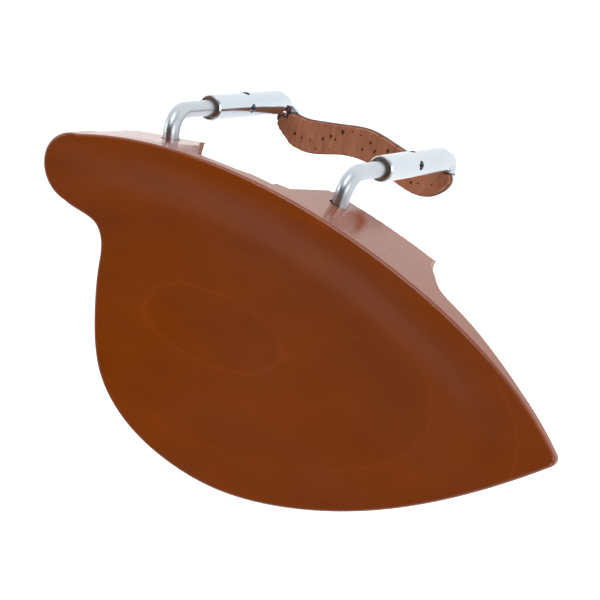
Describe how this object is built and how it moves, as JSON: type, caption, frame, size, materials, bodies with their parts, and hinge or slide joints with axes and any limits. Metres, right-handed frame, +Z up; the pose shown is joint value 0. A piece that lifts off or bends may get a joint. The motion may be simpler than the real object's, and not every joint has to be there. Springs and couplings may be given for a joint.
{
  "type": "violin chin rest",
  "caption": "Violin chin rest: a carved, dished wooden plate on cork-lined feet, held by a screw clamp with a cork-lined foot strap.",
  "frame": {"origin": "on the violin's top under the cork pads, midway between the axes of the two clamp barrels", "axes": "+X along the violin's edge from the left barrel to the right barrel and towards the plate's tip, +Y outwards from the violin, +Z up from the violin's top"},
  "size_m": [0.1233, 0.0704, 0.0638],
  "materials": {
    "stained_wood": "glossy stained and lacquered",
    "plated_metal": "polished nickel or chrome plating",
    "cork": "bare cork sheet, matt"
  },
  "bodies": {
    "plate": {"chin_plate": "stained_wood", "left_cork_pad": "cork", "right_cork_pad": "cork", "left_upper_rod": "plated_metal", "right_upper_rod": "plated_metal"},
    "left_barrel": {"left_barrel": "plated_metal"},
    "right_barrel": {"right_barrel": "plated_metal"},
    "foot": {"foot_strap": "plated_metal", "foot_cork": "cork", "left_lower_leg": "plated_metal", "right_lower_leg": "plated_metal"}
  },
  "joints": [
    {"name": "foot_slide", "type": "slide", "parent": "plate", "child": "foot", "axis": [0, 0, -1], "range_m": [-0.0014, 0.007]},
    {"name": "left_barrel_turn", "type": "hinge", "parent": "plate", "child": "left_barrel", "pos_m": [-0.021, 0, -0.0228], "axis": [0, 0, 1], "range_deg": [-360, 1800]},
    {"name": "right_barrel_turn", "type": "hinge", "parent": "plate", "child": "right_barrel", "pos_m": [0.021, 0, -0.0221], "axis": [0, 0, 1], "range_deg": [-360, 1800]}
  ],
  "couplings": [
    {"joint": "left_barrel_turn", "follows": "foot_slide", "rad_per_m": 4487.9},
    {"joint": "right_barrel_turn", "follows": "foot_slide", "rad_per_m": 4487.9}
  ]
}
